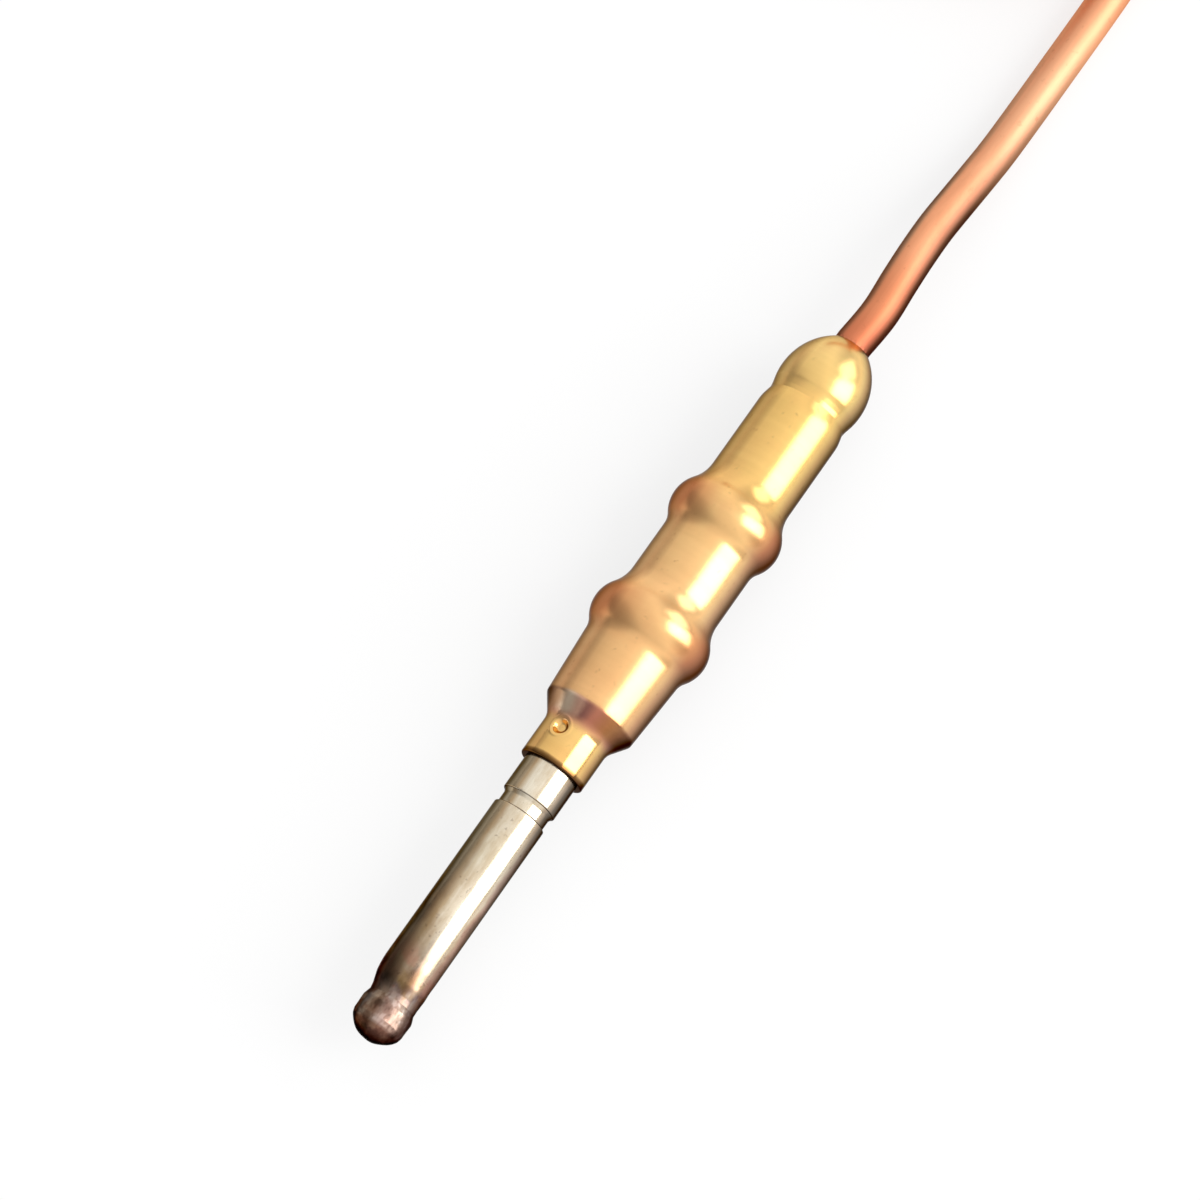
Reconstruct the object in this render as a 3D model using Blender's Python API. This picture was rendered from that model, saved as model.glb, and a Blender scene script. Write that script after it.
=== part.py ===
# Thermocouple of a gas pilot: heated probe in a beaded brass sleeve, copper lead in a tied coil, threaded valve end.
import math

import bmesh
import bpy
from mathutils import Matrix, Vector
from mathutils.geometry import interpolate_bezier

MM = 0.001  # every size below is in millimetres

# Fits
FIT_GAP = 0.1  # radial gap between a bore and what sits in it
SEAM_GAP = 0.12  # gap between end faces that meet
FLOOR_GAP = 0.02

# Probe
TIP_LENGTH = 3.5
TIP_RADIUS = 2.225
TIP_DOME = 1.2  # depth of the rounded end
TIP_RIM = 2.1  # radius where the rounded end meets the side
TIP_SPIGOT = 1.7
NECK_RADIUS = 2.02
NECK_FLARE = 2.5
SHEATH_RADIUS = 2.29
SHEATH_LENGTH = 17.8
SHEATH_BORE = 1.25
GROOVE_RADIUS = 2.08
GROOVE_LENGTH = 1.3
TAIL_RADIUS = 1.7
TAIL_LENGTH = 9.0
ROD_RADIUS = 0.5
ROD_END_WALL = 2.3  # solid metal ahead of the rod in the tip
BEADS = ("insulator_front", "insulator_middle", "insulator_rear")

# Root bush between probe and sleeve
RING_RADIUS = 2.36
RING_SHOWN = 3.1
BUSH_FLANGE_LENGTH = 3.6

# Mounting sleeve
NOSE_WALL = 0.38
NOSE_LENGTH = 3.6
NOSE_ROUND = 0.12
SHOULDER_LENGTH = 2.25
FRONT_RADIUS = 4.0
FRONT_FLARE = 0.325  # growth of the front section's radius up to its bead
FRONT_LENGTH = 8.0  # to the middle of the front bead
FRONT_BEAD_RADIUS = 5.2
MID_RADIUS = 4.075
BEAD_PITCH = 10.75
MID_BEAD_RADIUS = 4.9
REAR_RADIUS = 3.7
REAR_LENGTH = 11.75  # middle bead to the waist
WAIST_RADIUS = 3.475
SLEEVE_WALL = 0.6
BEAD_ROUND = 2.8
BEAD_FILLET = 2.0  # hollow ahead of a bead
BEAD_REAR_FILLET = 3.5  # longer hollow behind it
DIMPLE_RADIUS = 0.8
DIMPLE_DEPTH = 0.2
DIMPLE_FROM_NOSE = 2.88
DIMPLE_ANGLE = 22.0  # degrees from the top, to the left seen from the tip

# Rear cap
CAP_LENGTH = 6.75
CAP_BEAD_RADIUS = 3.8
CAP_DOME = 5.5  # radius of the rounded end, seen from the side
CAP_LEAN = 14.0  # degrees the same round reaches forward of the crest
CAP_LIP = 0.3
CAP_RIM = 0.12
CAP_SPIGOT = 5.0

# Splice inside the sleeve
SPLICE_RADIUS = 1.0
SPLICE_LENGTH = 8.0
SPLICE_AT = 1.8  # its front end behind the middle of the front bead
SLEEVING_WALL = 0.5
SLEEVING_OVERHANG = 1.7
WIRE_RADIUS = 0.45

# Copper lead
LEAD_RADIUS = 1.5875
LEAD_BORE = 0.88
LEAD_INLET_LENGTH = 14.8
LEAD_JOINT = 0.3
COIL_X = 54.8  # coil centre behind the sleeve's end
COIL_MID_RADIUS = 15.75
COIL_TURN_GAP = 0.46
COIL_TURNS = 1.5  # turns of each layer
COIL_STEPS = 24
TIE_RADIUS = 0.35
TIE_GAP = 0.3
TIE_ANGLES = {"coil_tie_near": 150.0, "coil_tie_far": 330.0}

# Valve end
TAIL_EASE = 5.0  # level stretch over the coil before the tail comes down
TAIL_FALL = 8.0
FERRULE_RADIUS = 3.1
FERRULE_LENGTH = 5.0
FERRULE_COLLAR = 2.2
FERRULE_NOSE = 2.1
FERRULE_SOCKET = 3.0
INSULATOR_RADIUS = 2.3
INSULATOR_LENGTH = 0.9
BUTTON_RADIUS = 1.85
BUTTON_LENGTH = 1.5
BUTTON_ROUND = 0.3
BUTTON_SOCKET = 0.9
WASHER_RADIUS = 3.6
WASHER_LENGTH = 0.9
WASHER_SPLIT = 14.0
NUT_FLATS = 9.525
NUT_HEAD = 4.0
NUT_THREAD_RADIUS = 4.365
NUT_THREAD_LENGTH = 6.5
NUT_CHAMFER = 0.5
NUT_TRAVEL = 6.0
NUT_CLEARANCE = 0.6  # between the nut, slid back, and the coil

# Stations along the axis, from the tip
AT_NECK = TIP_LENGTH
AT_GROOVE = AT_NECK + SHEATH_LENGTH
AT_RING = AT_GROOVE + GROOVE_LENGTH
AT_NOSE = AT_RING + RING_SHOWN
AT_SHOULDER = AT_NOSE + NOSE_LENGTH
AT_FRONT = AT_SHOULDER + SHOULDER_LENGTH
AT_BEAD = AT_FRONT + FRONT_LENGTH
AT_BEAD_2 = AT_BEAD + BEAD_PITCH
AT_WAIST = AT_BEAD_2 + REAR_LENGTH
AT_END = AT_WAIST + CAP_LENGTH
AT_TAIL_END = AT_RING + TAIL_LENGTH
AT_SPIGOT_END = AT_NECK + TIP_SPIGOT
AT_SPLICE = AT_BEAD + SPLICE_AT
AT_SPLICE_END = AT_SPLICE + SPLICE_LENGTH
AT_INLET = AT_END - LEAD_INLET_LENGTH

AXIS_HEIGHT = FRONT_BEAD_RADIUS
MIDDLE = AT_END / 2

# Radii that follow from what fits in them
ROD_HOLE = ROD_RADIUS + FIT_GAP
RING_BORE = TAIL_RADIUS + FIT_GAP
NOSE_BORE = RING_RADIUS + FIT_GAP
NOSE_RADIUS = NOSE_BORE + NOSE_WALL
FRONT_BORE = FRONT_RADIUS - SLEEVE_WALL
MID_BORE = MID_RADIUS - SLEEVE_WALL
REAR_BORE = WAIST_RADIUS - SLEEVE_WALL
LEAD_HOLE = LEAD_RADIUS + FIT_GAP
WIRE_HOLE = WIRE_RADIUS + FIT_GAP
SLEEVING_BORE = SPLICE_RADIUS + FIT_GAP

# Lead levels and the coil
LEAD_DIAMETER = 2 * LEAD_RADIUS
COIL_PITCH = LEAD_DIAMETER + COIL_TURN_GAP
COIL_OUTER = COIL_MID_RADIUS + COIL_PITCH * COIL_TURNS / 2
COIL_INNER = COIL_MID_RADIUS - COIL_PITCH * COIL_TURNS / 2
TIE_OFFSET = LEAD_RADIUS + TIE_GAP + TIE_RADIUS
COIL_LOW = TIE_OFFSET + TIE_RADIUS + FLOOR_GAP
COIL_HIGH = COIL_LOW + COIL_PITCH
FLOOR_RUN = LEAD_RADIUS + FLOOR_GAP
COIL_AT = AT_END - MIDDLE + COIL_X
COIL_CENTRE = Vector((COIL_AT, COIL_OUTER, 0.0))
TERMINAL_HEIGHT = NUT_FLATS / 2 + FLOOR_GAP
NUT_LENGTH = NUT_HEAD + NUT_THREAD_LENGTH
NUT_CORNER = NUT_FLATS / math.sqrt(3)
NUT_FRONT_GAP = WASHER_LENGTH + 2 * SEAM_GAP
NUT_STOP = math.sqrt((COIL_OUTER + LEAD_RADIUS) ** 2 - (COIL_OUTER - NUT_CORNER - NUT_CLEARANCE) ** 2)
TERMINAL_AT = COIL_AT + NUT_STOP + NUT_TRAVEL + NUT_LENGTH + NUT_FRONT_GAP

# Lead from the sleeve to the coil: distance behind the sleeve, sideways, and share of the drop from axis to floor
RUN_ROUTE = (
    (0.0, 0.0, 1.0), (3.3, -0.26, 1.0), (6.6, -0.07, 0.98), (9.6, 0.1, 0.89), (12.6, 0.21, 0.72),
    (15.6, 0.18, 0.5), (18.8, 0.12, 0.27), (22.0, 0.06, 0.09), (26.0, 0.05, 0.0), (31.6, 0.01, 0.0),
    (37.6, -0.02, 0.0), (41.5, 0.0, 0.03), (46.0, 0.0, 0.16),
)


def material(name, colour, metallic, roughness):
    made = bpy.data.materials.new(name)
    made.use_nodes = True
    shader = made.node_tree.nodes["Principled BSDF"]
    shader.inputs["Base Color"].default_value = (*colour, 1.0)
    shader.inputs["Metallic"].default_value = metallic
    shader.inputs["Roughness"].default_value = roughness
    return made


def finish(name, mesh, look, origin):
    thing = bpy.data.objects.new(name, mesh)
    thing.location = Vector(origin) * MM
    bpy.context.scene.collection.objects.link(thing)
    thing.data.materials.append(material(name, *look))
    for face in mesh.polygons:
        face.use_smooth = True
    mesh.set_sharp_from_angle(angle=math.radians(35))
    return thing


def turned(name, profile, look, origin, sides=32, hollow=False, turn=360.0):
    # A profile of (along, radius) points spun about the X axis; a hollow one is a closed outline.
    form = bmesh.new()
    verts = [form.verts.new((x * MM, 0.0, r * MM)) for x, r in profile]
    pairs = list(zip(verts, verts[1:]))
    if hollow:
        pairs.append((verts[-1], verts[0]))
    edges = [form.edges.new(pair) for pair in pairs]
    whole = turn == 360.0
    bmesh.ops.spin(form, geom=verts + edges, cent=(0, 0, 0), axis=(1, 0, 0), angle=math.radians(turn),
                   steps=sides, use_merge=whole)
    bmesh.ops.remove_doubles(form, verts=form.verts[:], dist=0.001 * MM)
    if not whole:
        bmesh.ops.holes_fill(form, edges=[edge for edge in form.edges if edge.is_boundary], sides=0)
    bmesh.ops.recalc_face_normals(form, faces=form.faces[:])
    mesh = bpy.data.meshes.new(name)
    form.to_mesh(mesh)
    form.free()
    return finish(name, mesh, look, origin)


def ring(start, end, bore, radius, edge=0.0):
    # Outline of a plain tube, with its outer edges eased.
    if not edge:
        return [(start, bore), (start, radius), (end, radius), (end, bore)]
    return [(start, bore), (start, radius - edge), (start + edge, radius), (end - edge, radius),
            (end, radius - edge), (end, bore)]


def arc(x, r, radius, start, stop, steps):
    # Points about (x, r), with the angle counted from straight out toward the rear.
    angles = [math.radians(start + (stop - start) * i / steps) for i in range(steps + 1)]
    return [(x + radius * math.sin(a), r + radius * math.cos(a)) for a in angles]


def rolled_bead(at, peak, before, after):
    # A rolled bead: convex crown with a hollow fillet down to the section on each side.
    points = []
    for side, base, hollow in ((-1, before, BEAD_FILLET), (1, after, BEAD_REAR_FILLET)):
        span = BEAD_ROUND + hollow
        lean = math.degrees(math.acos(1 - (peak - base) / span))
        foot = at + side * span * math.sin(math.radians(lean))
        crown = arc(at, peak - BEAD_ROUND, BEAD_ROUND, 0, side * lean, 3)
        fillet = arc(foot, base + hollow, hollow, 180 + side * lean, 180, 3)
        half = crown + fillet[1:]
        points += half[::-1] if side < 0 else half[1:]
    return points


def cut(body, tool, operation):
    # Takes one Boolean step on the body and removes the tool.
    step = body.modifiers.new("cut", "BOOLEAN")
    step.operation = operation
    step.solver = "EXACT"
    step.object = tool
    bpy.context.view_layer.update()
    shape = bpy.data.meshes.new_from_object(body.evaluated_get(bpy.context.evaluated_depsgraph_get()))
    body.modifiers.clear()
    body.data = shape
    bpy.data.objects.remove(tool)


def tube(name, points, radius, resolution, look, cyclic=False):
    # A round tube on a line of points, closed at its ends.
    line = bpy.data.curves.new(name, "CURVE")
    line.dimensions = "3D"
    line.bevel_depth = radius * MM
    line.bevel_resolution = resolution
    line.use_fill_caps = not cyclic
    spline = line.splines.new("POLY")
    spline.points.add(len(points) - 1)
    for spot, place in zip(spline.points, points):
        spot.co = (*(Vector(place) * MM), 1.0)
    spline.use_cyclic_u = cyclic
    spline.use_smooth = True
    thing = bpy.data.objects.new(name, line)
    bpy.context.scene.collection.objects.link(thing)
    line.materials.append(material(name, *look))


def smooth_line(route, gap):
    # Points at an even gap along a smooth curve through the route.
    spots = [Vector(p) for p in route]
    slopes = [(b - a) / 6 for a, b in zip([spots[0]] + spots[:-1], spots[1:] + [spots[-1]])]
    fine = [spots[0]]
    for a, b, out, into in zip(spots, spots[1:], slopes, slopes[1:]):
        fine += interpolate_bezier(a, a + out, b - into, b, 13)[1:]
    length = sum((b - a).length for a, b in zip(fine, fine[1:]))
    count = max(2, round(length / gap))
    points, walked, due = [fine[0]], 0.0, length / count
    for a, b in zip(fine, fine[1:]):
        walked += (b - a).length
        if walked >= due and len(points) < count:
            points.append(b)
            due += length / count
    return points + [fine[-1]], length


HOT = (-MIDDLE, 0.0, AXIS_HEIGHT)  # where the tip's end lies
VALVE = (TERMINAL_AT, 0.0, TERMINAL_HEIGHT)  # where the ferrule's rear face lies

STEEL = ((0.42, 0.37, 0.31), 1.0, 0.3)
OXIDE = ((0.12, 0.085, 0.07), 0.8, 0.45)
BRASS = ((0.72, 0.45, 0.16), 1.0, 0.25)
COPPER = ((0.72, 0.29, 0.14), 1.0, 0.32)
CERAMIC = ((0.8, 0.78, 0.72), 0.0, 0.6)
FIBRE = ((0.32, 0.13, 0.08), 0.0, 0.7)
GLASS_CLOTH = ((0.75, 0.72, 0.62), 0.0, 0.85)
TIN = ((0.6, 0.6, 0.58), 1.0, 0.35)
TIE = ((0.86, 0.85, 0.8), 0.0, 0.55)


def hot_junction_tip():
    end = AT_NECK - SEAM_GAP / 2
    spigot = SHEATH_BORE - FIT_GAP
    ball = (TIP_RIM ** 2 + TIP_DOME ** 2) / (2 * TIP_DOME)
    dome = arc(ball, 0.0, ball, -90, math.degrees(math.asin(TIP_DOME / ball - 1)), 6)
    profile = [(0.0, 0.0)] + dome[1:] + [(TIP_DOME + 0.3, TIP_RADIUS - 0.02), (TIP_DOME + 0.7, TIP_RADIUS)]
    profile += [(end - 0.75, TIP_RADIUS), (end - 0.3, TIP_RADIUS - 0.1), (end, NECK_RADIUS)]
    profile += [(end, spigot), (AT_SPIGOT_END, spigot), (AT_SPIGOT_END, ROD_HOLE)]
    profile += [(ROD_END_WALL, ROD_HOLE), (ROD_END_WALL, 0.0)]
    turned("hot_junction_tip", profile, OXIDE, HOT)


def probe_sheath():
    start = AT_NECK + SEAM_GAP / 2
    step = AT_RING - SEAM_GAP
    lift = SHEATH_RADIUS - NECK_RADIUS
    profile = [(start, SHEATH_BORE), (start, NECK_RADIUS), (start + NECK_FLARE * 0.4, NECK_RADIUS + lift * 0.55)]
    profile += [(start + NECK_FLARE, SHEATH_RADIUS), (AT_GROOVE - 0.15, SHEATH_RADIUS)]
    profile += [(AT_GROOVE + 0.1, GROOVE_RADIUS), (step, GROOVE_RADIUS), (step, TAIL_RADIUS)]
    profile += [(AT_TAIL_END, TAIL_RADIUS), (AT_TAIL_END, SHEATH_BORE)]
    turned("probe_sheath", profile, STEEL, HOT, hollow=True)


def inner_thermoelement():
    start = ROD_END_WALL + SEAM_GAP
    end = (AT_SPLICE + AT_SPLICE_END) / 2 - SEAM_GAP
    profile = [(start, 0.0), (start, ROD_RADIUS), (end, ROD_RADIUS), (end, 0.0)]
    turned("inner_thermoelement", profile, STEEL, HOT, sides=16)


def insulator_beads():
    room = AT_TAIL_END - AT_SPIGOT_END
    length = room / len(BEADS) - SEAM_GAP
    for place, name in enumerate(BEADS):
        start = AT_SPIGOT_END + SEAM_GAP + place * (length + SEAM_GAP)
        outline = ring(start, start + length, ROD_HOLE, SHEATH_BORE - FIT_GAP, 0.1)
        turned(name, outline, CERAMIC, HOT, sides=20, hollow=True)


def root_bush():
    flange = FRONT_BORE - FIT_GAP
    cone = AT_FRONT + 0.9
    end = cone + BUSH_FLANGE_LENGTH
    profile = [(AT_RING, RING_BORE), (AT_RING, RING_RADIUS - 0.1), (AT_RING + 0.1, RING_RADIUS)]
    profile += [(AT_FRONT - 0.9, RING_RADIUS), (cone, flange), (end, flange), (end, RING_BORE)]
    turned("root_bush", profile, STEEL, HOT, hollow=True)


def sleeve_outside():
    # The drawn sleeve from nose to waist, with two rolled beads.
    swell = FRONT_RADIUS + FRONT_FLARE
    points = [(AT_NOSE, NOSE_RADIUS - NOSE_ROUND), (AT_NOSE + NOSE_ROUND, NOSE_RADIUS)]
    points += [(AT_SHOULDER - 0.3, NOSE_RADIUS), (AT_SHOULDER + 0.15, NOSE_RADIUS + 0.12)]
    points += [(AT_FRONT - 0.95, FRONT_RADIUS - 0.3), (AT_FRONT - 0.4, FRONT_RADIUS - 0.08), (AT_FRONT, FRONT_RADIUS)]
    points += rolled_bead(AT_BEAD, FRONT_BEAD_RADIUS, swell, MID_RADIUS)
    points += rolled_bead(AT_BEAD_2, MID_BEAD_RADIUS, MID_RADIUS, REAR_RADIUS)
    end = AT_WAIST - SEAM_GAP / 2
    points += [(end - 1.1, REAR_RADIUS), (end - 0.6, REAR_RADIUS - 0.07), (end, WAIST_RADIUS)]
    return points


def sleeve_inside():
    # The bore from the waist back to the nose, hollow behind each bead.
    points = [(AT_WAIST - SEAM_GAP / 2, REAR_BORE)]
    for at, peak, behind, ahead in ((AT_BEAD_2, MID_BEAD_RADIUS, REAR_BORE, MID_BORE),
                                    (AT_BEAD, FRONT_BEAD_RADIUS, MID_BORE, FRONT_BORE)):
        crown = peak - SLEEVE_WALL
        points += [(at + 2.1, behind), (at + 0.7, crown), (at - 0.7, crown), (at - 2.1, ahead)]
    return points + [(AT_FRONT + 0.5, FRONT_BORE), (AT_SHOULDER + 0.9, NOSE_BORE), (AT_NOSE, NOSE_BORE)]


def mounting_sleeve():
    sleeve = turned("mounting_sleeve", sleeve_outside() + sleeve_inside(), BRASS, HOT, hollow=True)
    ball = (DIMPLE_RADIUS ** 2 + DIMPLE_DEPTH ** 2) / (2 * DIMPLE_DEPTH)
    reach = NOSE_RADIUS - DIMPLE_DEPTH + ball
    lean = Matrix.Rotation(math.radians(-DIMPLE_ANGLE), 4, "X")
    place = Vector((AT_NOSE + DIMPLE_FROM_NOSE - MIDDLE, 0.0, AXIS_HEIGHT)) + lean @ Vector((0.0, 0.0, reach))
    form = bmesh.new()
    bmesh.ops.create_uvsphere(form, u_segments=16, v_segments=20, radius=ball * MM)
    shape = bpy.data.meshes.new("dimple")
    form.to_mesh(shape)
    form.free()
    tool = bpy.data.objects.new("dimple", shape)
    tool.matrix_world = Matrix.Translation(place * MM) @ lean
    bpy.context.scene.collection.objects.link(tool)
    cut(sleeve, tool, "DIFFERENCE")


def rear_cap():
    start = AT_WAIST + SEAM_GAP / 2
    spigot = REAR_BORE - FIT_GAP
    back = AT_WAIST - CAP_SPIGOT
    rim = LEAD_HOLE + CAP_RIM
    fall = math.acos(1 - (CAP_BEAD_RADIUS - rim) / CAP_DOME)
    at = AT_END - CAP_LIP - CAP_DOME * math.sin(fall)
    crown = arc(at, CAP_BEAD_RADIUS - CAP_DOME, CAP_DOME, -CAP_LEAN, math.degrees(fall), 7)
    profile = [(back, LEAD_HOLE), (back, spigot - 0.15), (back + 0.15, spigot), (start, spigot)]
    profile += [(start, WAIST_RADIUS)] + crown
    profile += [(AT_END, rim), (AT_END, LEAD_HOLE)]
    turned("rear_cap", profile, BRASS, HOT, hollow=True)


def splice():
    middle = (AT_SPLICE + AT_SPLICE_END) / 2
    turned("splice_crimp", ring(AT_SPLICE, AT_SPLICE_END, ROD_HOLE, SPLICE_RADIUS, 0.1), COPPER, HOT, 20, True)
    outline = ring(AT_SPLICE - SLEEVING_OVERHANG, AT_SPLICE_END + SLEEVING_OVERHANG, SLEEVING_BORE,
                   SLEEVING_BORE + SLEEVING_WALL)
    turned("splice_sleeve", outline, GLASS_CLOTH, HOT, 20, True)
    end = AT_END - LEAD_JOINT
    wire = [(middle + SEAM_GAP, 0.0), (middle + SEAM_GAP, WIRE_RADIUS), (end, WIRE_RADIUS), (end, 0.0)]
    turned("lead_core_wire", wire, COPPER, HOT, 16)
    cover = ring(AT_INLET, end, WIRE_HOLE, LEAD_BORE - FIT_GAP)
    turned("lead_core_cover", cover, GLASS_CLOTH, HOT, 20, True)
    turned("lead_inlet_tube", ring(AT_INLET, AT_END, LEAD_BORE, LEAD_RADIUS), COPPER, HOT, 24, True)


def lead():
    drop = AXIS_HEIGHT - FLOOR_RUN
    route = [(AT_END - MIDDLE + LEAD_JOINT + x, y, FLOOR_RUN + share * drop) for x, y, share in RUN_ROUTE]
    route.append((COIL_AT - LEAD_DIAMETER - LEAD_JOINT, 0.0, COIL_LOW))
    points, run_length = smooth_line(route, 2 * LEAD_DIAMETER)
    tube("lead_run", points, LEAD_RADIUS, 2, COPPER)

    coil = coil_points()
    tube("lead_coil", coil, LEAD_RADIUS, 1, COPPER)
    coil_length = sum((b - a).length for a, b in zip(coil, coil[1:]))

    tail = [Vector((COIL_AT + LEAD_DIAMETER + LEAD_JOINT, 0.0, COIL_HIGH))]
    for share, fall in ((0.0, 0.0), (0.25, 0.16), (0.5, 0.5), (0.75, 0.84), (1.0, 1.0)):
        height = COIL_HIGH + (TERMINAL_HEIGHT - COIL_HIGH) * fall
        tail.append(Vector((COIL_AT + TAIL_EASE + TAIL_FALL * share, 0.0, height)))
    tail.append(Vector((TERMINAL_AT + FERRULE_SOCKET - SEAM_GAP, 0.0, TERMINAL_HEIGHT)))
    tube("lead_tail", tail, LEAD_RADIUS, 2, COPPER)
    tail_length = sum((b - a).length for a, b in zip(tail, tail[1:]))
    total = run_length + coil_length + tail_length + 2 * LEAD_JOINT
    print(f"lead {total:.1f} mm free, {AT_END + total + FERRULE_LENGTH - FERRULE_SOCKET + 2.4:.1f} mm overall")


def coil_spot(turn):
    # Radius and height after so many turns: in on the lower layer, up in the half turn where the spiral reverses, out.
    depth = min(turn, 2 * COIL_TURNS - turn)
    climb = min(1.0, max(0.0, 2 * (turn - COIL_TURNS) + 0.5))
    return COIL_OUTER - COIL_PITCH * depth, COIL_LOW + COIL_PITCH * climb


def coil_place(degrees, radius, height):
    side = Vector((math.cos(math.radians(degrees)), math.sin(math.radians(degrees)), 0.0))
    return COIL_CENTRE + side * radius + Vector((0.0, 0.0, height))


def coil_points():
    # One unbroken spiral that comes in and leaves along the object's own axis.
    points = [Vector((COIL_AT - LEAD_DIAMETER, 0.0, COIL_LOW))]
    for i in range(round(2 * COIL_TURNS * COIL_STEPS) + 1):
        turn = i / COIL_STEPS
        points.append(coil_place(360 * turn - 90, *coil_spot(turn)))
    points.append(Vector((COIL_AT + LEAD_DIAMETER, 0.0, COIL_HIGH)))
    away = COIL_STEPS // 2
    least = min((a - b).length for i, a in enumerate(points) for b in points[i + away:])
    print(f"coil turns lie {least - LEAD_DIAMETER:.2f} mm apart at least, inner bend {COIL_INNER:.2f} mm")
    return points


def coil_ties():
    # Each tie is a wire loop about the turns that pass its place.
    for name, angle in TIE_ANGLES.items():
        first = (angle + 90) % 360 / 360
        radii = [coil_spot(first + lap)[0] for lap in range(math.ceil(2 * COIL_TURNS - first))]
        near, far = min(radii), max(radii)
        loop = []
        for out, up, start in ((far, COIL_HIGH, 0), (far, COIL_LOW, 90), (near, COIL_LOW, 180), (near, COIL_HIGH, 270)):
            loop += [coil_place(angle, *spot) for spot in arc(out, up, TIE_OFFSET, start, start + 90, 4)]
        tube(name, loop, TIE_RADIUS, 1, TIE, cyclic=True)


def terminal():
    nose = FERRULE_LENGTH
    core = WIRE_HOLE + FIT_GAP
    profile = [(0.0, LEAD_HOLE), (0.0, FERRULE_RADIUS - 0.15), (0.15, FERRULE_RADIUS), (FERRULE_COLLAR, FERRULE_RADIUS)]
    profile += [(nose, FERRULE_NOSE), (nose, core), (FERRULE_SOCKET, core), (FERRULE_SOCKET, LEAD_HOLE)]
    turned("terminal_ferrule", profile, BRASS, VALVE, 32, True)
    start = nose + SEAM_GAP
    face = start + INSULATOR_LENGTH
    turned("terminal_insulator", ring(start, face, WIRE_HOLE, INSULATOR_RADIUS, 0.1), FIBRE, VALVE, 24, True)
    back = face + SEAM_GAP
    front = back + BUTTON_LENGTH
    hole = back + BUTTON_SOCKET
    profile = [(front, 0.0)] + arc(front - BUTTON_ROUND, BUTTON_RADIUS - BUTTON_ROUND, BUTTON_ROUND, 90, 0, 3)
    profile += [(back, BUTTON_RADIUS), (back, WIRE_HOLE), (hole, WIRE_HOLE), (hole, 0.0)]
    turned("contact_button", profile, TIN, VALVE, 24)
    first, last = FERRULE_SOCKET + SEAM_GAP, hole - SEAM_GAP
    wire = [(first, 0.0), (first, WIRE_RADIUS), (last, WIRE_RADIUS), (last, 0.0)]
    turned("terminal_core_wire", wire, COPPER, VALVE, 16)


def lock_washer():
    end = -SEAM_GAP
    outline = ring(end - WASHER_LENGTH, end, LEAD_HOLE + FIT_GAP, WASHER_RADIUS)
    turned("lock_washer", outline, STEEL, VALVE, 30, True, 360.0 - WASHER_SPLIT)


def connection_nut():
    end = -NUT_FRONT_GAP
    head = end - NUT_THREAD_LENGTH
    back = head - NUT_HEAD
    bore = LEAD_HOLE + FIT_GAP
    bevel = NUT_CORNER - NUT_FLATS / 2 + 0.15
    drop = bevel * math.tan(math.radians(30))
    tip = NUT_THREAD_RADIUS - NUT_CHAMFER
    profile = [(back, bore), (back, NUT_CORNER - bevel), (back + drop, NUT_CORNER), (head - drop, NUT_CORNER)]
    profile += [(head, NUT_CORNER - bevel), (head, NUT_THREAD_RADIUS - 0.3), (head + 0.5, NUT_THREAD_RADIUS - 0.3)]
    profile += [(head + 0.8, NUT_THREAD_RADIUS), (end - NUT_CHAMFER, NUT_THREAD_RADIUS), (end, tip), (end, bore)]
    nut = turned("connection_nut", profile, BRASS, VALVE, 36, True)
    form = bmesh.new()
    bmesh.ops.create_cone(form, cap_ends=True, segments=6, radius1=NUT_CORNER * MM, radius2=NUT_CORNER * MM,
                          depth=4 * NUT_LENGTH * MM)
    bmesh.ops.rotate(form, verts=form.verts[:], cent=(0, 0, 0), matrix=Matrix.Rotation(math.pi / 2, 3, "Y"))
    shape = bpy.data.meshes.new("hex")
    form.to_mesh(shape)
    form.free()
    tool = bpy.data.objects.new("hex", shape)
    tool.location = Vector(VALVE) * MM
    bpy.context.scene.collection.objects.link(tool)
    cut(nut, tool, "INTERSECT")


for old in list(bpy.data.objects):
    bpy.data.objects.remove(old)

hot_junction_tip()
probe_sheath()
inner_thermoelement()
insulator_beads()
root_bush()
mounting_sleeve()
rear_cap()
splice()
lead()
coil_ties()
terminal()
lock_washer()
connection_nut()
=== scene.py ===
# Gas pilot thermocouple: heated probe, beaded brass sleeve, copper lead in a tied coil, threaded valve end
import math

import bmesh
import bpy
from mathutils import Matrix, Vector, noise
from mathutils.geometry import interpolate_bezier


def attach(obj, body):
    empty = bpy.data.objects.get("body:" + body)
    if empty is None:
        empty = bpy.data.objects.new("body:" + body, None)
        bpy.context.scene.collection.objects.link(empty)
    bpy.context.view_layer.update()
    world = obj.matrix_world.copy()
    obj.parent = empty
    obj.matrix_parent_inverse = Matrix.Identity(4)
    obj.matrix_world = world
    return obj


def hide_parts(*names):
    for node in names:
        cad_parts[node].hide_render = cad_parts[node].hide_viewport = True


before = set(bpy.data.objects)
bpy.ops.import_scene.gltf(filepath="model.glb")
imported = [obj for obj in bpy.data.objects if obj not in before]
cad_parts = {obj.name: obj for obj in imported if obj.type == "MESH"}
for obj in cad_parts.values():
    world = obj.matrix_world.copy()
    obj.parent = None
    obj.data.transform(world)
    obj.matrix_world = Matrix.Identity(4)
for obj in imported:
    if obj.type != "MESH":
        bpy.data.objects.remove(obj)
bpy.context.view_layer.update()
scene = bpy.context.scene
scene.view_settings.view_transform = "Standard"
mm = 0.001  # sizes below are in millimetres
tipX = -34.4  # where the tip's end lies along the axis
axisZ = 5.2  # height of the hot end's axis
valveX = 122.631  # rear face of the terminal ferrule
valveZ = 4.7825  # height of the valve end's axis
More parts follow.
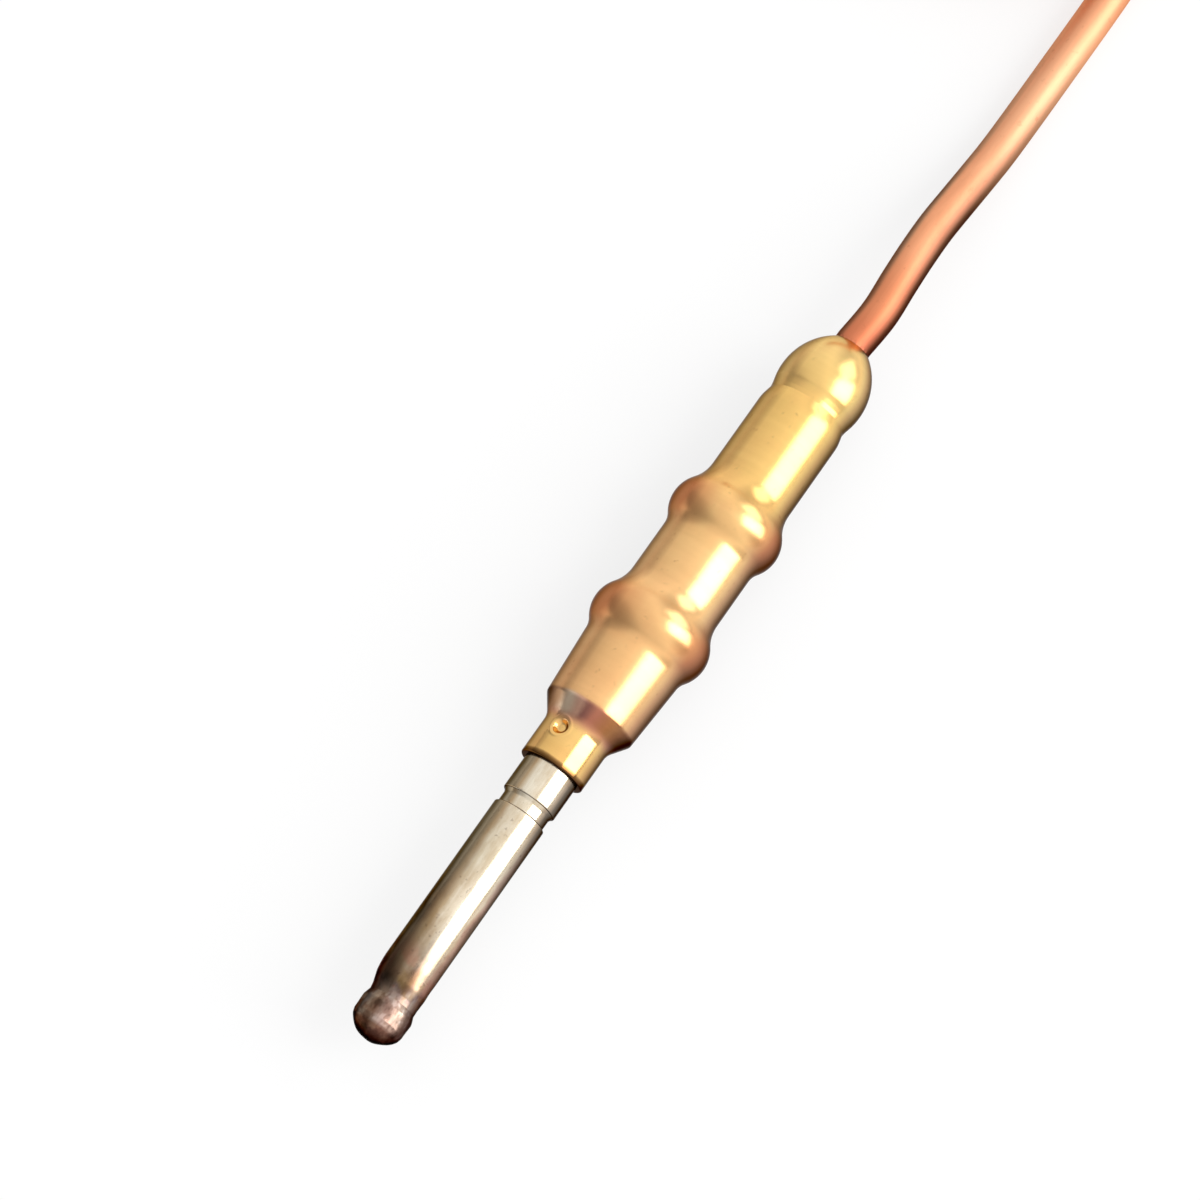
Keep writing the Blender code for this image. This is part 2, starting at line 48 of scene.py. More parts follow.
sharpAngle = 32  # degrees; flatter edges are shaded smooth
print("frame loaded:", len(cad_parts), "nodes")


# Camera, as the photograph is taken
shot = {"place": (-103.359, -68.487, 385.554), "aim": (4.6, 4.341, 7.346), "lens": 152.72, "sensor": 36,
        "nearest": 0.01}
cameraData = bpy.data.cameras.new("camera")
cameraData.lens = shot["lens"]
cameraData.sensor_width = shot["sensor"]
cameraData.clip_start = shot["nearest"]
camera = bpy.data.objects.new("camera", cameraData)
camera.location = Vector(shot["place"]) * mm
camera.rotation_euler = (Vector(shot["aim"]) - Vector(shot["place"])).to_track_quat("-Z", "Y").to_euler()
scene.collection.objects.link(camera)
scene.camera = camera
print("camera set")


# Shared helpers
def tint(red, green, blue):  # screen colour 0-255 to the shader's linear value
    values = [c / 255 for c in (red, green, blue)]
    return tuple(c / 12.92 if c <= 0.04045 else ((c + 0.055) / 1.055) ** 2.4 for c in values) + (1.0,)


def addObject(name, data, look):
    thing = bpy.data.objects.new(name, data)
    scene.collection.objects.link(thing)
    data.materials.append(look)
    return thing


def shade(mesh, angle):
    for face in mesh.polygons:
        face.use_smooth = True
    mesh.set_sharp_from_angle(angle=math.radians(angle))


def toObject(bm, name, look):
    mesh = bpy.data.meshes.new(name)
    bm.to_mesh(mesh)
    bm.free()
    shade(mesh, sharpAngle)
    return addObject(name, mesh, look)


def eased(share):  # smooth step from 0 to 1
    share = min(1.0, max(0.0, share))
    return share * share * (3 - 2 * share)


def easedLine(corners, steps=6):  # a corner with a third value is rounded to that radius
    line = []
    for i, corner in enumerate(corners):
        here = Vector(corner[:2])
        if len(corner) < 3:
            line.append(here)
            continue
        back = (Vector(corners[i - 1][:2]) - here).normalized()
        ahead = (Vector(corners[(i + 1) % len(corners)][:2]) - here).normalized()
        half = back.angle(ahead) / 2
        centre = here + (back + ahead).normalized() * corner[2] / math.sin(half)
        first = here + back * corner[2] / math.tan(half) - centre
        last = here + ahead * corner[2] / math.tan(half) - centre
        line += [centre + first.lerp(last, k / steps).normalized() * corner[2] for k in range(steps + 1)]
    return line


def arcLine(x, r, radius, start, stop, steps):  # angle counted from straight out, toward the rear
    turns = [math.radians(start + (stop - start) * i / steps) for i in range(steps + 1)]
    return [Vector((x + radius * math.sin(a), r + radius * math.cos(a))) for a in turns]


def splitLong(line, gap):  # adds points where a stretch is longer than the gap
    fine = [line[0]]
    for a, b in zip(line, line[1:]):
        parts = max(1, math.ceil((b - a).length / gap))
        fine += [a.lerp(b, k / parts) for k in range(1, parts + 1)]
    return fine


def lathe(line, origin, closed, steps=128, angle=360.0, rise=0.0):  # spins points of (along, radius) about X
    bm = bmesh.new()
    start = Vector(origin) * mm
    verts = [bm.verts.new(start + Vector((p[0], 0.0, p[1])) * mm) for p in line]
    pairs = list(zip(verts, verts[1:])) + ([(verts[-1], verts[0])] if closed else [])
    edges = [bm.edges.new(pair) for pair in pairs]
    whole = angle == 360.0
    bmesh.ops.spin(bm, geom=verts + edges, cent=start, axis=(1, 0, 0), dvec=(rise * mm / steps, 0, 0),
                   angle=math.radians(angle), steps=steps, use_merge=whole)
    bmesh.ops.remove_doubles(bm, verts=bm.verts[:], dist=0.0005 * mm)
    if not whole:
        bmesh.ops.holes_fill(bm, edges=[e for e in bm.edges if e.is_boundary], sides=0)
    bmesh.ops.recalc_face_normals(bm, faces=bm.faces[:])
    return bm


def place(piece, body, slot, *nodes):
    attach(piece, body)
    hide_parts(*nodes)
    return piece


# Node helpers for the finishes
def newLook(name):
    look = bpy.data.materials.new(name)
    look.use_nodes = True
    return look, look.node_tree, look.node_tree.nodes["Principled BSDF"]


def addNode(tree, kind, **values):
    node = tree.nodes.new(kind)
    for key, value in values.items():
        if hasattr(node, key):
            setattr(node, key, value)
        else:
            node.inputs[key.replace("_", " ")].default_value = value
    return node


def spots(tree, scale, stretch, detail, rough):  # noise on the piece's own coordinates, 0 to 1
    where = addNode(tree, "ShaderNodeTexCoord")
    shift = addNode(tree, "ShaderNodeMapping", Scale=stretch)
    grain = addNode(tree, "ShaderNodeTexNoise", Scale=scale, Detail=detail, Roughness=rough)
    tree.links.new(where.outputs["Object"], shift.inputs["Vector"])
    tree.links.new(shift.outputs["Vector"], grain.inputs["Vector"])
    return grain.outputs["Fac"]


def along(tree, axis, low, high, wander=None, amount=0.0):  # 0 to 1 between two places on an axis, in mm
    where = addNode(tree, "ShaderNodeTexCoord")
    split = addNode(tree, "ShaderNodeSeparateXYZ")
    span = addNode(tree, "ShaderNodeMapRange", From_Min=low * mm, From_Max=high * mm)
    tree.links.new(where.outputs["Object"], split.inputs["Vector"])
    tree.links.new(split.outputs[axis], span.inputs["Value"])
    if wander is None:
        return span.outputs["Result"]
    push = addNode(tree, "ShaderNodeMath", operation="MULTIPLY_ADD")
    push.inputs[1].default_value = amount
    tree.links.new(wander, push.inputs[0])
    tree.links.new(span.outputs["Result"], push.inputs[2])
    back = addNode(tree, "ShaderNodeMath", operation="SUBTRACT")
    back.inputs[1].default_value = amount / 2
    tree.links.new(push.outputs[0], back.inputs[0])
    return back.outputs[0]


def ramp(tree, source, stops, smooth=True):
    node = addNode(tree, "ShaderNodeValToRGB")
    node.color_ramp.interpolation = "EASE" if smooth else "LINEAR"
    marks = node.color_ramp.elements
    while len(marks) < len(stops):
        marks.new(0.5)
    for mark, (spot, colour) in zip(marks, stops):
        mark.position = spot
        mark.color = colour if len(colour) == 4 else tint(*colour)
    tree.links.new(source, node.inputs["Fac"])
    return node.outputs["Color"]


def grey(tree, source, low, high, dark=0.0, bright=1.0):  # stretches a value between two limits
    node = addNode(tree, "ShaderNodeMapRange", From_Min=low, From_Max=high, To_Min=dark, To_Max=bright)
    tree.links.new(source, node.inputs["Value"])
    return node.outputs["Result"]


def blendColour(tree, factor, first, second, mode="MIX"):
    node = addNode(tree, "ShaderNodeMix", data_type="RGBA", blend_type=mode)
    node.clamp_factor = True
    for value, socket in ((factor, node.inputs[0]), (first, node.inputs[6]), (second, node.inputs[7])):
        if isinstance(value, (int, float)):
            socket.default_value = value
        elif isinstance(value, tuple):
            socket.default_value = value if len(value) == 4 else tint(*value)
        else:
            tree.links.new(value, socket)
    return node.outputs[2]


def addBump(tree, shader, height, depth, before=None):
    node = addNode(tree, "ShaderNodeBump", Strength=1.0, Distance=depth * mm)
    tree.links.new(height, node.inputs["Height"])
    if before is not None:
        tree.links.new(before.outputs["Normal"], node.inputs["Normal"])
    tree.links.new(node.outputs["Normal"], shader.inputs["Normal"])
    return node


shadePainting = {"farSpared": 0.6, "patchiness": 0.5}  # painted shade on the under side falls on the near side only


def shadeFlanks(tree, colour, under, side, wander=None):  # paints shade by which way the metal faces: turned down, or turned to a side
    facing = addNode(tree, "ShaderNodeTexCoord")
    split = addNode(tree, "ShaderNodeSeparateXYZ")
    tree.links.new(facing.outputs["Normal"], split.inputs["Vector"])
    away = addNode(tree, "ShaderNodeMath", operation="MAXIMUM")
    away.inputs[1].default_value = 0.0
    tree.links.new(split.outputs["Y"], away.inputs[0])
    down = addNode(tree, "ShaderNodeMath", operation="MULTIPLY_ADD")
    down.inputs[1].default_value = shadePainting["farSpared"]
    tree.links.new(away.outputs[0], down.inputs[0])
    tree.links.new(split.outputs["Z"], down.inputs[2])
    for lean, stops in ((down.outputs[0], under), (split.outputs["Y"], side)):
        if wander is not None:
            push = addNode(tree, "ShaderNodeMath", operation="MULTIPLY_ADD")
            push.inputs[1].default_value = shadePainting["patchiness"]
            tree.links.new(grey(tree, wander, 0, 1, -0.5, 0.5), push.inputs[0])
            tree.links.new(lean, push.inputs[2])
            lean = push.outputs[0]
        share = grey(tree, lean, -1, 1)
        paintedShade = ramp(tree, share, [((at + 1) / 2, tone) for at, tone in stops], False)
        colour = blendColour(tree, 1.0, colour, paintedShade, "MULTIPLY")
    return colour


# Studio: pale floor, tall softbox on the near side, dimmer far side and tip side
studio = {"floorSize": 8.0, "floorShade": 0.94, "floorRough": 0.95, "ownWhite": 0.74, "aim": (0.02, 0, 0.0),
          "keyWatts": 12.0, "keySize": (0.8, 1.3), "keyPlace": (0.42, -1.1, 0.78),
          "endWatts": 5.5, "endSize": (0.9, 1.1), "endPlace": (1.35, -0.8, 0.8), "dimSide": (-0.6, 0.8, 0.0),
          "sky": ((-1.0, 0.48), (-0.6, 0.68), (-0.36, 1.04), (-0.2, 1.02), (0.0, 0.92), (0.3, 0.84), (0.52, 0.74),
                  (0.7, 0.5), (1.0, 0.28))}


def studioFloor():
    bm = bmesh.new()
    bmesh.ops.create_grid(bm, x_segments=4, y_segments=4, size=studio["floorSize"] / 2)
    look, tree, shader = newLook("paleFloor")
    tone = studio["floorShade"]
    shader.inputs["Base Color"].default_value = (tone, tone, tone, 1)
    shader.inputs["Roughness"].default_value = studio["floorRough"]
    shader.inputs["Specular IOR Level"].default_value = 0.0
    glow = addNode(tree, "ShaderNodeEmission", Strength=1.0)  # where it is seen, it is partly white by itself
    path = addNode(tree, "ShaderNodeLightPath")
    seen = addNode(tree, "ShaderNodeMath", operation="MAXIMUM")
    also = addNode(tree, "ShaderNodeMath", operation="MAXIMUM")
    share = addNode(tree, "ShaderNodeMath", operation="MULTIPLY")
    share.inputs[1].default_value = studio["ownWhite"]
    both = addNode(tree, "ShaderNodeMixShader")
    tree.links.new(path.outputs["Is Camera Ray"], seen.inputs[0])
    tree.links.new(path.outputs["Is Glossy Ray"], seen.inputs[1])
    tree.links.new(seen.outputs[0], also.inputs[0])
    tree.links.new(path.outputs["Is Transmission Ray"], also.inputs[1])
    tree.links.new(also.outputs[0], share.inputs[0])
    tree.links.new(share.outputs[0], both.inputs[0])
    tree.links.new(shader.outputs[0], both.inputs[1])
    tree.links.new(glow.outputs[0], both.inputs[2])
    tree.links.new(both.outputs[0], tree.nodes["Material Output"].inputs["Surface"])
    toObject(bm, "floor", look)


def studioWorld():
    world = bpy.data.worlds.new("studio")
    world.use_nodes = True
    scene.world = world
    tree = world.node_tree
    where = addNode(tree, "ShaderNodeTexCoord")
    lean = addNode(tree, "ShaderNodeVectorMath", operation="DOT_PRODUCT")
    lean.inputs[1].default_value = studio["dimSide"]
    side = addNode(tree, "ShaderNodeMapRange", From_Min=-1.0, From_Max=1.0)
    tree.links.new(where.outputs["Generated"], lean.inputs[0])
    tree.links.new(lean.outputs["Value"], side.inputs["Value"])
    sky = ramp(tree, side.outputs["Result"], [((d + 1) / 2, (v, v, v, 1)) for d, v in studio["sky"]], False)
    tree.links.new(sky, tree.nodes["Background"].inputs["Color"])


def softbox(name, watts, size, spot):
    lamp = bpy.data.lights.new(name, "AREA")
    lamp.shape = "RECTANGLE"
    lamp.size, lamp.size_y = size
    lamp.energy = watts
    thing = bpy.data.objects.new(name, lamp)
    thing.location = spot
    thing.rotation_euler = (Vector(studio["aim"]) - Vector(spot)).to_track_quat("-Z", "Y").to_euler()
    thing.visible_camera = False
    scene.collection.objects.link(thing)


studioFloor()
studioWorld()
softbox("keySoftbox", studio["keyWatts"], studio["keySize"], studio["keyPlace"])
softbox("endSoftbox", studio["endWatts"], studio["endSize"], studio["endPlace"])
print("studio ready")


# Finishes: a stop is a place and a screen colour, a grain is a noise's scale, stretch, detail and roughness,
# a span is two places behind the tip's end and how far its edge wanders, flank stops are painted shade for under
# and side
white, black, even = (255, 255, 255), (0, 0, 0), (1, 1, 1)
edgeTone = {"steel": (0.3, 0.28, 0.27, 1), "brass": (0.42, 0.38, 0.36, 1), "copper": (0.4, 0.33, 0.3, 1)}


def behindTip(tree, span, wander=None):
    return along(tree, "X", tipX + span[0], tipX + span[1], wander, span[2])


def patch(tree, source, ground, limits, tone):  # lays a tone where the source is past its limits
    return blendColour(tree, grey(tree, source, *limits), ground, tone)


def veil(tree, source, ground, limits, tone):  # darkens by a tone where the source is low
    darker = blendColour(tree, grey(tree, source, *limits), tone, white)
    return blendColour(tree, 1.0, ground, darker, "MULTIPLY")


def makeMetal(tree, shader, colour, edge=None):
    tree.links.new(colour, shader.inputs["Base Color"])
    shader.inputs["Metallic"].default_value = 1.0
    if edge is not None:
        shader.inputs["Specular Tint"].default_value = edgeTone[edge]


# Probe steel: heat colours fade from tip to root, with painted shade on the under side and the sides, deepest
# towards the tip
probeFinish = {
    "grains": {"cloud": (420, (0.7, 1, 1), 5, 0.6), "blots": (330, (0.8, 1, 1), 3, 0.6),
               "smoke": (560, (0.8, 1, 1), 3, 0.6), "lines": (900, (0.025, 1, 1), 3, 0.6),
               "mottle": (700, (0.4, 1, 1), 4, 0.6), "flecks": (2600, even, 2, 0.5),
               "scale": (800, (0.6, 1, 1), 3, 0.6), "pits": (1500, even, 4, 0.6)},
    "heatSpan": (0, 25.4, 0.09), "hotSpan": (11, 2, 0.5), "weldSpan": (5.5, 2.5, 0.4),
    "faceSpan": (1.0, 1.35, 0.3), "lowerSpan": (5.5, 11, 0.6), "tipShadeSpan": (4.8, 3.4, 0.4),
    "rootShadeSpan": (11, 21, 0), "glossSpan": (2, 10, 0.3),
    "heat": ((0.0, (167, 142, 129)), (0.1, (202, 178, 167)), (0.13, (140, 116, 112)), (0.17, (120, 98, 101)),
             (0.21, (212, 184, 165)), (0.27, (222, 207, 184)), (0.36, (240, 226, 203)), (0.5, (255, 242, 219)),
             (0.66, (255, 246, 224)), (0.85, (255, 246, 226))),
    "olive": ((0.46, 0.36), (184, 158, 94)), "pinkish": ((0.5, 0.62), (238, 164, 150)),
    "smoke": ((0.5, 0.4, 0, 0.6), (104, 84, 76)), "hotLimits": (0.3, 0.8, 0, 0.9),
    "mottle": ((0.36, 0.56), (234, 226, 216)), "lines": ((0.3, 0.72), (230, 223, 214)),
    "flecks": ((0.66, 0.74, 0, 0.35), (116, 92, 74)), "weldLimits": (0.2, 0.9, 0, 0.8),
    "crust": ((0.36, (125, 105, 92)), (0.5, (195, 171, 153)), (0.62, (255, 239, 224))),
    "burnt": ((0.38, (94, 70, 56)), (0.52, (147, 107, 90)), (0.64, (182, 142, 116))),
    # flank stops, under then side: painted shade, deepest near the tip, where it also dims part of the highlight
    "midShade": (((0.1, (149, 144, 149)), (0.26, (166, 149, 155)), (0.44, (222, 200, 203)), (0.57, white)),
              ((0.03, white), (0.22, (206, 189, 164)), (0.44, (166, 149, 132)), (0.67, (105, 101, 97)),
               (0.78, (72, 69, 66)), (0.88, (118, 110, 102)), (1.0, (170, 160, 150)))),
    "tipShade": (((0.1, (96, 90, 92)), (0.26, (104, 93, 97)), (0.44, (132, 119, 120)), (0.57, (160, 150, 150)),
                 (0.67, (198, 190, 190)), (0.76, white)),
                ((-0.5, white), (-0.3, (206, 194, 194)), (-0.19, (214, 206, 206)), (0.03, (204, 200, 200)),
                 (0.22, (166, 152, 138)), (0.44, (176, 164, 150)), (0.67, (110, 108, 106)), (0.78, (76, 74, 72)),
                 (0.88, (116, 110, 104)), (1.0, (166, 158, 150)))),
    "lowShade": (((0.1, (149, 144, 149)), (0.26, (162, 144, 149)), (0.44, (212, 188, 188)), (0.62, white)),
                 ((-0.6, white), (-0.44, (181, 168, 168)), (-0.33, (139, 126, 126)), (-0.15, (177, 168, 155)),
                  (0.03, (186, 179, 168)), (0.22, (132, 126, 117)), (0.44, (100, 94, 85)), (0.67, (85, 80, 75)),
                  (0.8, (88, 83, 78)), (0.88, (118, 110, 102)), (1.0, (166, 154, 142)))),
    "rootShade": (((0.2, (92, 87, 87)), (0.44, (126, 121, 121)), (0.57, (186, 174, 168)), (0.67, (232, 225, 218)),
               (0.74, white)),
              ((0.24, white), (0.44, (216, 197, 173)), (0.67, (168, 163, 154)), (0.8, (122, 118, 110)),
               (0.88, (138, 132, 123)), (1.0, (196, 188, 176)))),
    "rough": (0.1, 1.0, 0.33, 0.19), "lineDepth": 0.006, "pitDepth": 0.006}


def heatSteel():
    f = probeFinish
    look, tree, shader = newLook("heatSteel")
    grains = {name: spots(tree, *grain) for name, grain in f["grains"].items()}
    cloud, blots, scale = grains["cloud"], grains["blots"], grains["scale"]
    heat = ramp(tree, behindTip(tree, f["heatSpan"], cloud), f["heat"])
    stained = patch(tree, blots, heat, *f["olive"])
    stained = patch(tree, blots, stained, *f["pinkish"])
    stained = patch(tree, grains["smoke"], stained, *f["smoke"])
    tinted = patch(tree, behindTip(tree, f["hotSpan"], blots), heat, f["hotLimits"], stained)
    worn = veil(tree, grains["mottle"], tinted, *f["mottle"])
    worn = veil(tree, grains["lines"], worn, *f["lines"])
    marked = patch(tree, grains["flecks"], worn, *f["flecks"])
    crust, burnt = ramp(tree, scale, f["crust"]), ramp(tree, scale, f["burnt"])
    welded = patch(tree, behindTip(tree, f["weldSpan"], cloud), marked, f["weldLimits"], crust)
    ended = blendColour(tree, behindTip(tree, f["faceSpan"], cloud), burnt, welded)
    # copies of one colour with painted shade, blended along the probe
    midShade, tipShade, lowShade = [shadeFlanks(tree, ended, *f[name], cloud) for name in ("midShade", "tipShade", "lowShade")]
    heated = blendColour(tree, behindTip(tree, f["lowerSpan"], cloud), lowShade, midShade)
    heated = blendColour(tree, behindTip(tree, f["tipShadeSpan"], cloud), heated, tipShade)
    rootShade = shadeFlanks(tree, ended, *f["rootShade"])
    makeMetal(tree, shader, blendColour(tree, behindTip(tree, f["rootShadeSpan"]), heated, rootShade), "steel")
    gloss = behindTip(tree, f["glossSpan"], cloud)
    tree.links.new(grey(tree, gloss, *f["rough"]), shader.inputs["Roughness"])
    first = addBump(tree, shader, grains["lines"], f["lineDepth"])
    addBump(tree, shader, grains["pits"], f["pitDepth"], first)
    return look


# Sleeve brass: red-brown where it was heated at the shoulder, with painted shade and a painted highlight across
# it; painted shade on the nose's mouth, on both sides of each bead and on the under and far sides
sleeveFinish = {
    "grains": {"cloud": (260, even, 4, 0.55), "rings": (1100, (1, 0.05, 0.05), 3, 0.6),
               "flecks": (1800, even, 2, 0.5), "dents": (900, even, 4, 0.6)},
    "span": (25.7, 68.8, 0.01), "across": (-4, 4), "acrossWander": 0.25,
    # the first two stops paint shade on the nose's mouth, where it meets the ring
    "body": ((0.0, (98, 67, 34)), (0.006, (116, 81, 43)), (0.012, (255, 205, 126)), (0.07, (255, 209, 131)),
             (0.094, (228, 162, 125)), (0.12, (158, 107, 87)), (0.131, (255, 200, 138)), (0.3, (255, 203, 139)),
             (0.36, (255, 205, 142)), (0.56, (255, 206, 139)), (0.64, (255, 208, 128)), (0.84, (255, 210, 127)),
             (0.88, (255, 213, 134)), (1.0, (255, 219, 146))),
    # across the shoulder: heat colours with painted shade at both sides and a painted highlight a little to the
    # far side
    "bloomShadeAndGlint": ((0.04, (125, 85, 50)), (0.2, (173, 116, 72)), (0.38, (195, 125, 101)), (0.48, (158, 105, 94)),
              (0.57, (228, 178, 153)), (0.68, (252, 226, 196)), (0.84, (195, 156, 118)), (0.96, (87, 65, 54))),
    "shoulder": ((0.082, black), (0.1, white), (0.121, white), (0.131, black)),
    "blush": ((0.45, 0.75, 0, 0.22), (246, 173, 118)), "rings": ((0.3, 0.7), (249, 247, 245)),
    # the bead stops paint shade on both sides of each bead
    "flecks": ((0.67, 0.76, 0, 0.25), (158, 103, 65)), "beadShade": (228, 153, 101), "beadShadeAt": (0.321, 0.571),
    "beadShadeFade": ((-0.08, black), (-0.02, white), (0.01, white), (0.06, black)),
    "beadShadeSides": ((0.6, 3.4), (-2.6, -4.2)), "beadShadeWander": 0.3,
    # painted shade on the under side and the far side
    "shadeFlanks": (((0.1, (105, 105, 124)), (0.26, (149, 151, 179)), (0.44, (205, 205, 229)), (0.57, (236, 243, 255)),
                (0.67, white)),
               ((0.46, white), (0.67, (203, 197, 200)), (0.78, (197, 197, 206)), (0.9, (173, 173, 181)))),
    "glossSpan": (29, 32, 0.2), "rough": (0, 1, 0.16, 0.26), "ringDepth": 0.002, "dentDepth": 0.005}


def drawnBrass():
    f = sleeveFinish
    look, tree, shader = newLook("drawnBrass")
    grains = {name: spots(tree, *grain) for name, grain in f["grains"].items()}
    cloud = grains["cloud"]
    spot = behindTip(tree, f["span"], cloud)
    # shoulder heat colours with painted shade and a painted highlight across it
    bloomShadeAndGlint = ramp(tree, along(tree, "Y", *f["across"], cloud, f["acrossWander"]), f["bloomShadeAndGlint"])
    body = blendColour(tree, ramp(tree, spot, f["shoulder"]), ramp(tree, spot, f["body"]), bloomShadeAndGlint)
    worn = veil(tree, grains["rings"], patch(tree, cloud, body, *f["blush"]), *f["rings"])
    marked = patch(tree, grains["flecks"], worn, *f["flecks"])
    # painted shade on both sides of each bead
    sides = addNode(tree, "ShaderNodeMath", operation="MAXIMUM")
    for socket, side in zip(sides.inputs, f["beadShadeSides"]):
        tree.links.new(along(tree, "Y", *side, cloud, f["beadShadeWander"]), socket)
    beadShade = addNode(tree, "ShaderNodeMath", operation="MULTIPLY", use_clamp=True)
    beads = [(at + step, tone) for at in f["beadShadeAt"] for step, tone in f["beadShadeFade"]]
    tree.links.new(ramp(tree, spot, beads), beadShade.inputs[0])
    tree.links.new(sides.outputs[0], beadShade.inputs[1])
    beadShaded = blendColour(tree, beadShade.outputs[0], marked, f["beadShade"])
    makeMetal(tree, shader, shadeFlanks(tree, beadShaded, *f["shadeFlanks"]), "brass")
    gloss = behindTip(tree, f["glossSpan"], cloud)
    tree.links.new(grey(tree, gloss, *f["rough"]), shader.inputs["Roughness"])
    first = addBump(tree, shader, grains["rings"], f["ringDepth"])
    addBump(tree, shader, grains["dents"], f["dentDepth"], first)
    return look


# Satin copper tube: redder near the sleeve, with painted shade on the under and far sides by the hot end, none in
# the coil
leadFinish = {
    "grains": {"cloud": (150, (0.5, 1, 1), 4, 0.55), "lines": (1300, (0.03, 1, 1), 3, 0.6),
               "flecks": (1400, even, 3, 0.5), "dents": (700, (0.4, 1, 1), 4, 0.55)},
    "ends": (34, 95), "wander": 0.14, "shadeEnds": (50, 70),
    "body": ((0.0, (228, 142, 103)), (0.08, (244, 162, 118)), (0.2, (255, 186, 141)), (0.45, (252, 192, 150)),
             (0.75, (240, 168, 124)), (1.0, (232, 156, 114))),
    "lines": ((0.3, 0.72), (246, 241, 238)), "flecks": ((0.64, 0.76, 0, 0.25), (186, 109, 72)),
    # painted shade on the under side and the far side
    "shadeFlanks": (((-0.5, (165, 155, 152)), (-0.15, (104, 99, 99)), (0.1, (82, 77, 77)), (0.26, (89, 85, 89)),
                (0.44, (118, 115, 118)), (0.57, (170, 164, 172)), (0.67, (197, 186, 194)), (0.83, (226, 218, 225)),
                (0.94, white)),
               ((0.44, white), (0.56, (243, 246, 248)), (0.67, (196, 204, 212)), (0.78, (152, 164, 174)),
                (0.88, (134, 142, 150)), (1.0, (176, 178, 182)))),
    "rough": (0.3, 0.7, 0.52, 0.6), "dentDepth": 0.012}


def leadCopper():
    f = leadFinish
    look, tree, shader = newLook("leadCopper")
    grains = {name: spots(tree, *grain) for name, grain in f["grains"].items()}
    cloud = grains["cloud"]
    body = ramp(tree, along(tree, "X", *f["ends"], cloud, f["wander"]), f["body"])
    worn = veil(tree, grains["lines"], body, *f["lines"])
    marked = patch(tree, grains["flecks"], worn, *f["flecks"])
    # painted shade, faded out before the coil
    paintedShade = shadeFlanks(tree, marked, *f["shadeFlanks"])
    makeMetal(tree, shader, blendColour(tree, along(tree, "X", *f["shadeEnds"]), paintedShade, marked), "copper")
    tree.links.new(grey(tree, cloud, *f["rough"]), shader.inputs["Roughness"])
    addBump(tree, shader, grains["dents"], f["dentDepth"])
    return look


# Machined brass of the valve end
valveFinish = {"cloudGrain": (320, even, 4, 0.55), "ringGrain": (1600, (1, 0.06, 0.06), 3, 0.6),
               "body": ((0.3, (228, 178, 100)), (0.55, (238, 192, 114)), (0.75, (216, 158, 92))),
               "rings": ((0.3, 0.7), (228, 222, 214)), "rough": (0.3, 0.7, 0.2, 0.3), "ringDepth": 0.008}


def turnedBrass():
    f = valveFinish
    look, tree, shader = newLook("turnedBrass")
    cloud, rings = spots(tree, *f["cloudGrain"]), spots(tree, *f["ringGrain"])
    makeMetal(tree, shader, veil(tree, rings, ramp(tree, cloud, f["body"]), *f["rings"]), "brass")
    tree.links.new(grey(tree, cloud, *f["rough"]), shader.inputs["Roughness"])
    addBump(tree, shader, rings, f["ringDepth"])
    return look


# Plated or drawn metal with faint clouding: dark tone, bright tone, roughness
plainMetals = {"rodSteel": ((150, 144, 136), (190, 184, 174), 0.35),
               "springSteel": ((128, 124, 120), (176, 172, 166), 0.3),
               "tinPlate": ((186, 184, 178), (222, 220, 214), 0.3),
               "wireCopper": ((196, 118, 82), (226, 148, 106), 0.35)}
plainGrain = {"cloud": (700, even, 5, 0.6), "dents": (2100, even, 3, 0.5), "limits": (0.3, 0.7),
              "dentDepth": 0.006}


def plainMetal(name, dark, bright, roughness):
    look, tree, shader = newLook(name)
    cloud = spots(tree, *plainGrain["cloud"])
    makeMetal(tree, shader, ramp(tree, cloud, list(zip(plainGrain["limits"], (dark, bright)))))
    gloss = grey(tree, cloud, *plainGrain["limits"], roughness - 0.05, roughness + 0.08)
    tree.links.new(gloss, shader.inputs["Roughness"])
    addBump(tree, shader, spots(tree, *plainGrain["dents"]), plainGrain["dentDepth"])
    return look


# Ceramic, fibre, cloth and paper: dark tone, bright tone, roughness, noise scale, stretch, bump depth
dryStuffs = {"ceramic": ((226, 220, 204), (240, 236, 224), 0.55, 900, even, 0.01),
             "fibre": ((112, 52, 36), (146, 74, 50), 0.62, 1400, (3, 1, 1), 0.015),
             "glassCloth": ((206, 198, 176), (236, 230, 212), 0.8, 2600, (1, 0.4, 0.4), 0.03),
             "tiePaper": ((224, 220, 208), (244, 242, 234), 0.55, 1200, even, 0.012)}
dryGrain = {"detail": 5, "rough": 0.6, "limits": (0.3, 0.7), "specular": 0.35}


def dryStuff(name, dark, bright, roughness, scale, stretch, depth):
    look, tree, shader = newLook(name)
    cloud = spots(tree, scale, stretch, dryGrain["detail"], dryGrain["rough"])
    colour = ramp(tree, cloud, list(zip(dryGrain["limits"], (dark, bright))))
    tree.links.new(colour, shader.inputs["Base Color"])
    gloss = grey(tree, cloud, *dryGrain["limits"], roughness - 0.06, roughness + 0.06)
    tree.links.new(gloss, shader.inputs["Roughness"])
    shader.inputs["Specular IOR Level"].default_value = dryGrain["specular"]
    addBump(tree, shader, cloud, depth)
    return look


looks = {"heatSteel": heatSteel(), "drawnBrass": drawnBrass(), "leadCopper": leadCopper(),
         "turnedBrass": turnedBrass()}
looks.update({name: plainMetal(name, *values) for name, values in plainMetals.items()})
looks.update({name: dryStuff(name, *values) for name, values in dryStuffs.items()})
print("finishes ready:", len(looks))


